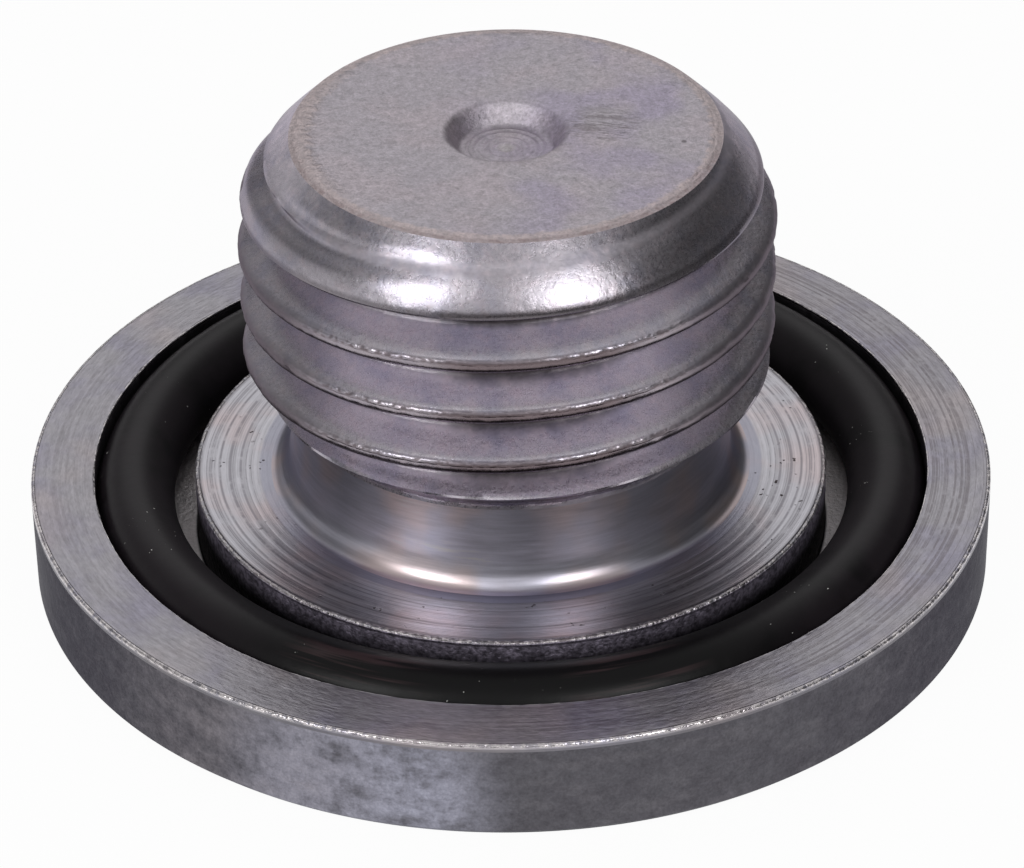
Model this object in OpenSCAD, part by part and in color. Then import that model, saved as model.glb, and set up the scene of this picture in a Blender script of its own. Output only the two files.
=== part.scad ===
// Oil drain plug: one turned steel plug with a rolled metric thread, and the rubber ring
// that seals it. The plug stands on its head, with the thread pointing up. The origin is
// the centre of the head's underside, +Z runs along the axis towards the thread's end.
// All sizes are in millimetres.

/* [Head] */
// Outside diameter of the round head
head_d = 25.8; // [23:0.1:34]
// Thickness of the head at its rim
head_h = 2.9; // [2.6:0.1:6]
// Width of the flat sealing land round the ring groove
land_w = 1.7; // [0.8:0.1:2.6]
// Bevel that breaks the head's upper edge
upper_bevel = 0.12; // [0.05:0.01:0.4]
// Bevel that breaks the head's lower edge
lower_bevel = 0.25; // [0.05:0.05:0.6]

/* [Sealing ring] */
// Thickness of the rubber ring's round section
ring_section = 2.1; // [1.4:0.1:2.4]
// How far the ring stands above the sealing land
ring_proud = 0.25; // [0.1:0.05:0.6]
// Free width that the groove leaves inside the ring
ring_play = 0.6; // [0.1:0.05:1]
// Clearance between the ring and the groove's floor and outer wall
ring_fit = 0.02; // [0.01:0.01:0.1]
// How far the middle boss lies below the sealing land
boss_drop = 0.1; // [0:0.05:0.6]

/* [Neck] */
// Length of the smooth neck, from the boss up to the thread's run-out
neck_l = 2.4; // [1:0.1:5]
// How far the neck lies below the root of the thread
neck_relief = 0.28; // [0.1:0.01:0.6]
// Radius of the fillet between neck and boss
neck_fillet = 0.65; // [0.1:0.05:1]
// Slope of the run-out shoulder, measured from the axis
shoulder_angle = 50; // [30:1:70]

/* [Thread] */
// Nominal diameter over the crests
thread_d = 14; // [13:0.5:18]
// Distance between neighbouring crests
thread_pitch = 1.5; // [1:0.25:2]
// Length of the shank, from the sealing land to the end face
shank_l = 10; // [8:0.5:30]
// Place round the axis where the groove leaves the end face
thread_start = 37; // [0:1:359]
// Radial depth of the chamfer at the end face
lead_depth = 1.47; // [0.8:0.01:2]
// Slope of that chamfer, measured from the axis
lead_angle = 46; // [30:1:60]
// Length of the thread's weaker first turns, from the end face
taper_l = 2.4; // [2.2:0.1:4]
// Slope of the weaker turns, measured from the axis
taper_angle = 15; // [5:1:20]

/* [Centre mark] */
// Diameter of the centre mark in the end face
mark_d = 3.2; // [1:0.1:5]
// Diameter of the mark's floor
mark_floor_d = 2; // [0.4:0.1:2.6]
// Depth of the mark
mark_depth = 0.55; // [0.1:0.05:1.5]

/* [Drive socket] */
// Width across the flats of the hexagon socket in the head's underside
socket_af = 8; // [5:0.5:8]
// Depth of the hexagon
socket_depth = 5; // [3:0.1:7]
// Bevel round the socket's mouth, past its corners
socket_bevel = 0.3; // [0.1:0.05:0.6]
// How much the drilled hole is smaller than the width across the flats
pilot_under = 0.3; // [0.1:0.05:0.8]
// How much deeper than the hexagon the drilled hole goes
pilot_extra = 1; // [0.2:0.1:1.5]
// Point angle of the drill
drill_point = 118; // [90:1:140]

/* [Hidden] */

// Steps in a full turn of the thread
turn_steps = 40;
// Steps in the quarter arc of the neck's fillet
fillet_steps = 6;
// Overlap of a cut past the face that it opens
cut = 0.1;

// Heights, from the head's underside
land_z = head_h;
boss_z = land_z - boss_drop;
shoulder_z = boss_z + neck_l;
end_z = land_z + shank_l;
taper_z = end_z - taper_l;

// The metric profile: depth of the rolled root, its flat, and the 30 degree flanks
flank_angle = 30;
thread_depth = 0.6134 * thread_pitch;
root_flat = thread_pitch / 8;

// Radii
head_r = head_d / 2;
groove_r = head_r - land_w;
boss_r = groove_r - ring_section - ring_play;
crest_r = thread_d / 2;
root_r = crest_r - thread_depth;
neck_r = root_r - neck_relief;
end_r = crest_r - lead_depth;

// The ring touches the groove's outer wall and lies on its floor
groove_z = land_z - ring_section + ring_proud - ring_fit;
ring_r = groove_r - ring_fit - ring_section / 2;
ring_z = groove_z + ring_fit + ring_section / 2;

// The knee where the end chamfer meets the taper of the first turns
knee_r = (end_r / tan(lead_angle) + end_z - taper_z - crest_r / tan(taper_angle))
    / (1 / tan(lead_angle) - 1 / tan(taper_angle));
knee_z = end_z - (knee_r - end_r) / tan(lead_angle);
shoulder_top_z = shoulder_z + (crest_r - neck_r) / tan(shoulder_angle);

// Points of the fillet, from the boss up to the neck
function fillet_points() = [
    for (i = [0:fillet_steps])
        let (a = 90 * i / fillet_steps)
            [neck_r + neck_fillet * (1 - sin(a)), boss_z + neck_fillet * (1 - cos(a))]
];

// Half section of the turned blank, from the axis outwards and back
function blank_outline() = concat(
    [[0, 0], [head_r - lower_bevel, 0], [head_r, lower_bevel], [head_r, land_z - upper_bevel],
     [head_r - upper_bevel, land_z], [groove_r, land_z], [groove_r, groove_z],
     [boss_r, groove_z], [boss_r, boss_z]],
    fillet_points(),
    [[neck_r, shoulder_z], [crest_r, shoulder_top_z], [crest_r, taper_z], [knee_r, knee_z],
     [end_r, end_z], [mark_d / 2, end_z], [mark_floor_d / 2, end_z - mark_depth],
     [0, end_z - mark_depth]]
);

// Section of the thread's groove, opened a little past the crests
mouth_r = crest_r + cut;
mouth_half = root_flat / 2 + (mouth_r - root_r) * tan(flank_angle);
groove_section = [
    [root_r, -root_flat / 2], [mouth_r, -mouth_half], [mouth_r, mouth_half], [root_r, root_flat / 2]
];

// The groove starts in the air above the end face and runs out in the air round the neck
groove_top = end_z + thread_pitch;
groove_turns = (groove_top - shoulder_z) / thread_pitch + 0.75;
groove_steps = ceil(groove_turns * turn_steps);
function groove_point(step, corner) =
    let (
        a = thread_start + 360 - 360 * step / turn_steps,
        z = groove_top - thread_pitch * step / turn_steps
    )
    [corner[0] * cos(a), corner[0] * sin(a), z + corner[1]];

// The helical groove, right-handed, as one swept solid
module thread_groove() {
    n = len(groove_section);
    last = groove_steps * n;
    points = [for (s = [0:groove_steps]) for (c = groove_section) groove_point(s, c)];
    sides = [
        for (s = [0:groove_steps - 1]) for (c = [0:n - 1])
            let (a = s * n + c, b = s * n + (c + 1) % n)
                each [[a, b + n, b], [a, a + n, b + n]]
    ];
    ends = [[0, 1, 2, 3], [last + 3, last + 2, last + 1, last]];
    polyhedron(points, concat(ends, sides));
}

// The hexagon socket, drilled first, with a bevelled mouth
module drive_socket() {
    corner_r = socket_af / 2 / cos(30);
    pilot_r = (socket_af - pilot_under) / 2;
    pilot_z = socket_depth + pilot_extra;
    translate([0, 0, -cut]) cylinder(h = socket_depth + cut, r = corner_r, $fn = 6);
    translate([0, 0, -cut]) cylinder(h = pilot_z + cut, r = pilot_r, $fn = 96);
    translate([0, 0, pilot_z])
        cylinder(h = pilot_r / tan(drill_point / 2), r1 = pilot_r, r2 = 0, $fn = 96);
    mouth = corner_r + socket_bevel;
    translate([0, 0, -cut]) cylinder(h = cut + mouth, r1 = mouth + cut, r2 = 0, $fn = 96);
}

// The steel plug, turned and threaded in one piece
module plug() {
    color("slategray")
        difference() {
            rotate_extrude($fn = 96) polygon(blank_outline());
            thread_groove();
            drive_socket();
        }
}

// The rubber sealing ring, seated in the groove of the head
module sealing_ring() {
    color("#1c1c1e")
        translate([0, 0, ring_z])
            rotate_extrude($fn = 96) translate([ring_r, 0]) circle(d = ring_section, $fn = 32);
}

plug();
sealing_ring();
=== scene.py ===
"""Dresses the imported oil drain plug: a turned and threaded steel plug, the rubber ring
that seals it, and a small studio to show it in. Sizes are in metres, in the part's frame:
the plug stands on its head, with the thread pointing up."""

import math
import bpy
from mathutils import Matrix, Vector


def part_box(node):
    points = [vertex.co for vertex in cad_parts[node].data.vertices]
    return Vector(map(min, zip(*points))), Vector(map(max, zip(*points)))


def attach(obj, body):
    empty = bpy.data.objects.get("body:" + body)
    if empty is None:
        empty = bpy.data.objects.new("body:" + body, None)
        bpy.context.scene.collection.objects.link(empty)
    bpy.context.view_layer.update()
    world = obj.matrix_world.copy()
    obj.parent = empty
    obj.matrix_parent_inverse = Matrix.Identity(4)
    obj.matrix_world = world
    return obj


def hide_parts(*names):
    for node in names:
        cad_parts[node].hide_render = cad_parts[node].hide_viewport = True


bl_info = {
    "name": "Oil Drain Plug",
    "version": (1, 0, 0),
    "blender": (4, 5, 0),
    "location": "3D View > Sidebar > Drain Plug",
    "description": "Builds a threaded steel drain plug with its rubber sealing ring and a studio",
    "category": "Object",
}

import bmesh
import bpy
from mathutils import Matrix, Vector, noise

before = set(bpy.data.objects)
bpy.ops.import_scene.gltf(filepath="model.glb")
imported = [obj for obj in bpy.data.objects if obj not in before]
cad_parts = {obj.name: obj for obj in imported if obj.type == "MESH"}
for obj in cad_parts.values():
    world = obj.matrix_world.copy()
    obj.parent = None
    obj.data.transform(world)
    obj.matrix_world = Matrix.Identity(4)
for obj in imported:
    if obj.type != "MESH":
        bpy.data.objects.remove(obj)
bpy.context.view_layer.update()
PLUG_LOW, PLUG_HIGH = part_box("plug")
RING_LOW, RING_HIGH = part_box("sealing_ring")

MM = 0.001

# The picture that the camera is set for, in pixels
PICTURE_WIDTH = 1024
PICTURE_HEIGHT = 868

# Columns round the plug: a multiple of 12, so that corners and quarter points lie on one
COLUMNS = 384

# Rows of the threaded shank for each pitch, and how near two vertices are one
ROWS_PER_PITCH = 24
WELD = 0.0001 * MM

# The head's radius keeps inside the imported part's box on every side
HEAD_RADIUS = min(PLUG_HIGH.x, PLUG_HIGH.y, -PLUG_LOW.x, -PLUG_LOW.y)

# The ring: the radius of its section, and that of the circle which the section follows
RING_SECTION = (RING_HIGH.z - RING_LOW.z) / 2
RING_RADIUS = RING_HIGH.x - RING_SECTION

# The metric profile as shares of the pitch: the depth of the rolled root, and its flat
THREAD_DEPTH = 0.6134
ROOT_FLAT = 1 / 8

# Where two finishes meet, so far from an edge or a corner
END_SEAM = 0.06 * MM
GROOVE_SEAM = 0.15 * MM
SIDE_SEAM = 0.08 * MM

# A bend past this angle is shaded as a sharp edge
SHARP_BEND = math.radians(32)

# The plug's material slots, in the order of its materials
THREAD, END_FACE, NECK, BOSS, LAND, RIM, SOCKET = range(7)

# A Mix node's sockets for colours: the two that it mixes, and its result
MIX_FIRST, MIX_SECOND, MIX_RESULT = 6, 7, 2

# Grooves scored into the boss: distance from the fillet, width and depth, in millimetres
BOSS_SCORES = (
    (0.27, 0.06, 0.006), (0.41, 0.05, 0.003), (0.67, 0.05, 0.003), (0.99, 0.05, 0.002),
    (1.47, 0.05, 0.003),
)


def length(name, description, millimetres):
    """A size of the part, written in millimetres and kept in metres."""
    return bpy.props.FloatProperty(
        name=name, description=description, default=millimetres * MM,
        min=0, precision=5, unit="LENGTH")


def slope(name, description, degrees):
    """An angle, written in degrees."""
    return bpy.props.FloatProperty(
        name=name, description=description, default=math.radians(degrees), unit="ROTATION")


def tint(name, description, red, green, blue):
    """A colour of a finish, in linear light."""
    return bpy.props.FloatVectorProperty(
        name=name, description=description, default=(red, green, blue),
        min=0, max=1, size=3, subtype="COLOR")


def share(name, description, value):
    """A number from 0 to 1."""
    return bpy.props.FloatProperty(
        name=name, description=description, default=value, min=0, max=1, subtype="FACTOR")


def level(name, description, value):
    """A brightness, where 1 shows as white."""
    return bpy.props.FloatProperty(name=name, description=description, default=value, min=0)


class PlugSizes(bpy.types.PropertyGroup):
    """Sizes of the steel plug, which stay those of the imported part."""

    land_width: length("Land width", "Width of the sealing land round the ring groove", 1.7)
    head_height: length("Head height", "Thickness of the head at its rim", 2.9)
    upper_bevel: length("Upper bevel", "Bevel on the head's upper edge", 0.12)
    lower_bevel: length("Lower bevel", "Bevel on the head's lower edge", 0.25)
    ring_fit: length("Ring clearance", "Clearance between the ring and its groove", 0.02)
    ring_play: length("Ring play", "Free width inside the ring", 0.6)
    boss_drop: length("Boss drop", "How far the boss lies below the land", 0.1)
    neck_length: length("Neck length", "From the boss up to the thread's run-out", 2.4)
    neck_relief: length("Neck relief", "How far the neck lies below the thread's root", 0.28)
    neck_fillet: length("Neck fillet", "Fillet between neck and boss", 0.65)
    shoulder: slope("Shoulder slope", "Slope of the run-out, from the axis", 50)
    thread_radius: length("Thread radius", "Nominal radius over the crests", 7)
    pitch: length("Pitch", "Distance between neighbouring crests", 1.5)
    groove_start: slope("Groove start", "Where the groove leaves the end face", 37)
    flank: slope("Flank angle", "Slope of the thread's flanks", 30)
    lead_depth: length("Chamfer depth", "Radial depth of the end chamfer", 1.47)
    lead_slope: slope("Chamfer slope", "Slope of the end chamfer, from the axis", 46)
    taper_length: length("Taper length", "Length of the weaker first turns", 2.4)
    taper_slope: slope("Taper slope", "Slope of the weaker turns, from the axis", 15)
    mark_radius: length("Mark radius", "Radius of the centre mark's lip", 1.6)
    mark_floor: length("Mark floor", "Radius of the centre mark's floor", 1)
    mark_depth: length("Mark depth", "Depth of the centre mark", 0.55)
    socket_flats: length("Socket width", "Width across the hexagon's flats", 8)
    socket_depth: length("Socket depth", "Depth of the hexagon", 5)
    socket_bevel: length("Socket bevel", "Bevel of the socket's mouth past its corners", 0.3)
    pilot_under: length("Pilot undersize", "How much the drilled hole is smaller", 0.3)
    pilot_extra: length("Pilot depth", "How much deeper the drilled hole goes", 1)
    drill_point: slope("Drill point", "Point angle of the drill", 118)


class PlugFinish(bpy.types.PropertyGroup):
    """Colours and wear of the steel."""

    face_steel: tint("End face", "Matt steel of the end face", 0.55, 0.507, 0.555)
    thread_steel: tint("Thread", "Rolled steel of the thread", 0.58, 0.54, 0.595)
    neck_steel: tint("Neck", "Smooth bluish steel of the neck", 0.63, 0.615, 0.715)
    boss_steel: tint("Boss", "Turned steel of the middle boss", 0.435, 0.425, 0.46)
    land_steel: tint("Land", "Brushed steel of the sealing land", 0.385, 0.37, 0.40)
    rim_steel: tint("Rim", "Dark steel of the head's side", 0.112, 0.108, 0.12)
    socket_steel: tint("Socket", "Steel of the underside and the socket", 0.30, 0.295, 0.31)
    # The dirt colour also serves as painted shade under the thread's crests and in its roots at
    # the front
    grime_and_shade: tint("Grime", "Oily dirt in corners and roots", 0.05, 0.038, 0.04)
    edge_steel: tint("Worn edge", "Warm bare steel of worn edges", 0.56, 0.525, 0.53)
    wear: length("Edge wear", "Depth of the nicks in the edges", 0.03)


class RingFinish(bpy.types.PropertyGroup):
    """Looks of the rubber ring."""

    rubber: tint("Rubber", "Black rubber", 0.0026, 0.0023, 0.0028)
    dust: tint("Dust", "Pale specks of dust on the rubber", 0.5, 0.5, 0.48)
    dust_cover: share("Dust cover", "How much of the ring the specks cover", 0.34)


class StudioSettings(bpy.types.PropertyGroup):
    """The camera, the lamps and the floor."""

    elevation: slope("Camera elevation", "Angle of the camera above the horizon", 33.61)
    roll: slope("Camera roll", "Turn of the picture, clockwise", 0.84)
    distance: length("Camera distance", "From the camera to the middle of the land", 114.8)
    focal_pixels: bpy.props.FloatProperty(
        name="Focal length", description="Focal length in pixels of the picture", default=4256)
    aim_x: bpy.props.FloatProperty(
        name="Aim across", description="Where the land's middle lies, in pixels", default=510.5)
    aim_y: bpy.props.FloatProperty(
        name="Aim down", description="Where the land's middle lies, in pixels", default=454.1)
    floor_colour: tint("Floor", "Pale floor", 0.85, 0.85, 0.85)
    floor_white: share("Floor white", "How far the floor fades to plain white", 0.96)
    floor_radius: length("Floor radius", "Radius of the floor", 1500)
    back_light: level("Back light", "Brightness of the room behind the object", 1.05)
    front_light: level("Front light", "Brightness of the room behind the camera", 0.6)
    low_light: level("Low light", "Brightness of the room near the horizon", 0.14)
    left_low_light: level("Left low light", "Added near the horizon at the left", 0.45)
    top_light: level("Top light", "Brightness of the ceiling", 0.55)
    left_dim: share("Left dimming", "How much darker the room is at the left", 0.78)
    right_dim: share("Right dimming", "How much darker the room is at the right", 0.93)
    box_light: level("Soft box light", "Brightness of the two soft boxes", 5.4)
    box_left: slope("Left soft box", "Turn of the left soft box from the front", 44)
    box_right: slope("Right soft box", "Turn of the right soft box from the front", 31)
    box_rise: slope("Soft box rise", "Angle of each soft box above the horizon", 39)
    box_distance: length("Soft box distance", "From the object to each soft box", 300)
    box_width: length("Soft box width", "Width of each soft box", 90)
    box_height: length("Soft box height", "Height of each soft box", 125)


class Plan:
    """Radii and heights of the plug that follow from its sizes, in metres."""

    def __init__(self, size):
        self.end = PLUG_HIGH.z
        self.land = size.head_height
        self.boss = size.head_height - size.boss_drop
        self.shoulder = self.boss + size.neck_length
        self.groove_floor = RING_LOW.z - size.ring_fit
        self.pilot = size.socket_depth + size.pilot_extra
        self.root_radius = size.thread_radius - THREAD_DEPTH * size.pitch
        self.neck_radius = self.root_radius - size.neck_relief
        self.fillet_radius = self.neck_radius + size.neck_fillet
        self.end_radius = size.thread_radius - size.lead_depth
        self.groove_radius = HEAD_RADIUS - size.land_width
        self.boss_radius = self.groove_radius - RING_SECTION * 2 - size.ring_play


class Wire:
    """One output socket of a node, so that maths on it reads as a Python expression."""

    def __init__(self, graph, socket):
        self.graph = graph
        self.socket = socket

    def sibling(self, name):
        """Another output of the same node."""
        return Wire(self.graph, self.socket.node.outputs[name])

    def __add__(self, other):
        return self.graph.maths("ADD", self, other)

    def __radd__(self, other):
        return self.graph.maths("ADD", other, self)

    def __sub__(self, other):
        return self.graph.maths("SUBTRACT", self, other)

    def __rsub__(self, other):
        return self.graph.maths("SUBTRACT", other, self)

    def __mul__(self, other):
        return self.graph.maths("MULTIPLY", self, other)

    def __rmul__(self, other):
        return self.graph.maths("MULTIPLY", other, self)

    def __truediv__(self, other):
        return self.graph.maths("DIVIDE", self, other)

    def __rtruediv__(self, other):
        return self.graph.maths("DIVIDE", other, self)

    def __pow__(self, other):
        return self.graph.maths("POWER", self, other)

    def __rpow__(self, other):
        return self.graph.maths("POWER", other, self)


class Graph:
    """A node tree. One method adds any node, and the others are short forms of it."""

    def __init__(self, tree):
        self.tree = tree

    def node(self, kind, settings=None, inputs=None, output=0):
        """Adds a node, sets it up, fills or links its sockets and returns one output."""
        made = self.tree.nodes.new(kind)
        for key, value in (settings or {}).items():
            setattr(made, key, value)
        for key, value in (inputs or {}).items():
            self.feed(made.inputs[key], value)
        return Wire(self, made.outputs[output])

    def feed(self, socket, value):
        """Links a wire to a socket, or writes a plain value into it."""
        if isinstance(value, Wire):
            self.tree.links.new(value.socket, socket)
        else:
            socket.default_value = value

    def maths(self, operation, *values):
        """A Math node on one, two or three values."""
        return self.node("ShaderNodeMath", {"operation": operation}, dict(enumerate(values)))

    def step(self, value, low, high):
        """A smooth step from 0 at low to 1 at high."""
        return self.node(
            "ShaderNodeMapRange", {"interpolation_type": "SMOOTHSTEP"},
            {"Value": value, "From Min": low, "From Max": high})

    def band(self, value, low, high, soft):
        """1 between low and high, fading to 0 within soft."""
        rise = self.step(value, low - soft, low + soft)
        fall = self.step(value, high - soft, high + soft)
        return rise - fall

    def vector(self, x, y, z):
        """A vector of three values."""
        return self.node("ShaderNodeCombineXYZ", None, {"X": x, "Y": y, "Z": z})

    def noise(self, where, scale, detail=2.0, roughness=0.5, seed=0.0):
        """Noise from 0 to 1 at a place."""
        return self.node(
            "ShaderNodeTexNoise", {"noise_dimensions": "4D"},
            {"Vector": where, "W": seed, "Scale": scale, "Detail": detail,
             "Roughness": roughness})

    def lines(self, where, scale, detail=2.0, roughness=0.6):
        """Noise from 0 to 1 along one number, such as a radius."""
        return self.node(
            "ShaderNodeTexNoise", {"noise_dimensions": "1D"},
            {"W": where, "Scale": scale, "Detail": detail, "Roughness": roughness})


class Finish(Graph):
    """A material's node tree. Places are in millimetres, in the part's frame."""

    def __init__(self, name, metallic=1.0):
        self.material = bpy.data.materials.new(name)
        self.material.use_nodes = True
        super().__init__(self.material.node_tree)
        self.shader = self.tree.nodes["Principled BSDF"]
        self.shader.inputs["Metallic"].default_value = metallic
        place = self.node("ShaderNodeTexCoord", output="Object")
        self.place = self.node(
            "ShaderNodeVectorMath", {"operation": "SCALE"}, {0: place, "Scale": 1 / MM})
        parts = self.node("ShaderNodeSeparateXYZ", None, {0: self.place})
        self.x = parts
        self.y = parts.sibling("Y")
        self.height = parts.sibling("Z")
        self.radius = self.maths("SQRT", self.x * self.x + self.y * self.y)

    def noise(self, where, scale, detail=2.0, roughness=0.5, seed=0.0):
        """Noise from 0 to 1 at a place, which the seed moves elsewhere."""
        moved = self.node("ShaderNodeVectorMath", {"operation": "ADD"},
                          {0: where, 1: (seed * 7.1, seed * 3.7, seed * 5.3)})
        return self.node("ShaderNodeTexNoise", None, {
            "Vector": moved, "Scale": scale, "Detail": detail, "Roughness": roughness})

    def mix(self, factor, first, second):
        """A colour between two, by a factor from 0 to 1."""
        return self.node(
            "ShaderNodeMix", {"data_type": "RGBA"},
            {"Factor": factor, MIX_FIRST: paint(first), MIX_SECOND: paint(second)}, MIX_RESULT)

    def shade(self, colour, value):
        """A colour made brighter or darker by a number."""
        return self.node(
            "ShaderNodeVectorMath", {"operation": "SCALE"}, {0: colour, "Scale": value})

    def near(self, radius, angle, reach, height=None):
        """1 at a spot given by radius and angle, fading to 0 at reach."""
        across = self.x - radius * math.cos(math.radians(angle))
        along = self.y - radius * math.sin(math.radians(angle))
        away = across * across + along * along
        if height is not None:
            rise = self.height - height
            away = away + rise * rise
        return 1 - self.step(self.maths("SQRT", away), reach * 0.4, reach)

    def brushed(self, across, around, seed=0.0, detail=2.0):
        """Noise in streaks that run round the axis: so many per mm across, and per turn."""
        reach = around / math.tau
        outward = self.radius - self.height
        where = self.vector(self.x / self.radius * reach, self.y / self.radius * reach,
                            outward * across)
        return self.noise(where, 1.0, detail, 0.6, seed)

    def circles(self, scale, width, seed):
        """Thin broken circles round the axis, where a run of noise crosses its middle."""
        run = self.lines(self.radius + seed, scale, 2, 0.6)
        circle = 1 - self.step(self.maths("ABSOLUTE", run - 0.5), 0.0, width)
        return circle * self.step(self.noise(self.place, 2.5, 2, 0.6, seed), 0.25, 0.5)

    def finish(self, colour, roughness, relief):
        """Links colour and roughness, and relief as a bump in millimetres."""
        normal = self.node(
            "ShaderNodeBump", None, {"Strength": 1.0, "Distance": MM, "Height": relief})
        self.feed(self.shader.inputs["Base Color"], colour)
        self.feed(self.shader.inputs["Roughness"], roughness)
        self.feed(self.shader.inputs["Normal"], normal)
        return self.material


def paint(colour):
    """A colour as a socket takes it: a wire as it is, and three numbers with alpha."""
    if isinstance(colour, Wire):
        return colour
    return (*colour, 1.0)


def tinted(colour, red, green, blue):
    """A property's colour, times three numbers."""
    return colour[0] * red, colour[1] * green, colour[2] * blue


# Finishes


def face_finish(look, size, plan):
    """The end face: matt, grainy, faintly mottled, with smears, a worn warm rim, and painted shade
    in the mark's wall and under the rim at the front.
    """
    f = Finish("end_face_steel")
    steel = look.face_steel
    lip = size.mark_radius / MM
    mark = size.mark_floor / MM
    edge = plan.end_radius / MM
    end = plan.end / MM
    grain = f.noise(f.place, 13, 4, 0.75)
    speck = f.noise(f.place, 4.5, 3, 0.6, 6)
    cloud = f.noise(f.place, 0.55, 3, 0.55, 3)
    tone = f.noise(f.place, 0.42, 2, 0.5, 8)
    colour = f.mix(f.step(cloud, 0.4, 0.65), steel, tinted(steel, 1.06, 1.03, 1.02))
    violet = f.step(tone, 0.44, 0.66) * f.step(f.x, -3.0, 2.5)
    colour = f.mix(violet * 0.8, colour, tinted(steel, 0.9, 0.87, 1.02))
    # Painted shade makes the mark's wall darker than the face, and its floor is brighter in the
    # middle
    wall = f.band(f.radius, mark + 0.12, lip + 0.02, 0.06)
    colour = f.mix(wall * 0.1, colour, tinted(steel, 0.6, 0.57, 0.62))
    colour = f.mix((1 - f.step(f.radius, mark + 0.1, mark + 0.2)) * 0.12, colour, look.grime_and_shade)
    colour = f.mix(f.near(0, 0, 0.3) * 0.7, colour, look.edge_steel)
    # Smeared scratches to the right of the mark
    smear = f.noise(f.vector(f.x * 0.9 - f.y * 0.5, f.y * 3.2 + f.x, 0), 1.5, 4, 0.65, 11)
    scratched = f.near(2.45, 3, 1.25)
    lines = f.step(smear, 0.50, 0.56) * scratched
    colour = f.mix(lines * 0.6, colour, tinted(steel, 0.6, 0.57, 0.57))
    colour = f.mix(f.near(4.61, -9.2, 0.1) * 0.6, colour, look.grime_and_shade)
    # The rim is worn to bare metal, roughest at the left
    rim = f.step(f.radius + speck * 0.35, edge - 0.17, edge - 0.01)
    rough_side = 1 - f.step(f.x, -5.4, -3.2)
    broad = f.step(f.radius + speck * 0.6, edge - 0.33, edge - 0.03) * rough_side
    bare = f.maths("MAXIMUM", rim, broad) * (0.45 + speck * 0.7)
    bare = f.maths("MINIMUM", bare * 0.85, 1.0)
    colour = f.mix(bare, colour, tinted(look.edge_steel, 1.15, 1.04, 1.02))
    # Painted shade: a brownish dark line just under the rim, on the front half only
    under = 1 - f.step(f.height, end - 0.05, end - 0.015)
    under = under * f.step(f.radius, edge - 0.23, edge - 0.13)
    under = under * f.step(f.y * -1, -1, 2.5)
    colour = f.mix(under * f.step(speck, 0.3, 0.7) * 0.7, colour, tinted(steel, 0.45, 0.36, 0.34))
    colour = f.shade(colour, 0.1 + grain * 1.1 + speck * 0.7)
    rough = 0.34 + grain * 0.16 + rim * 0.05
    relief = grain * 0.02 + speck * (0.02 + broad * 0.05) + smear * scratched * 0.08
    return f.finish(colour, rough, relief)


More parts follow.
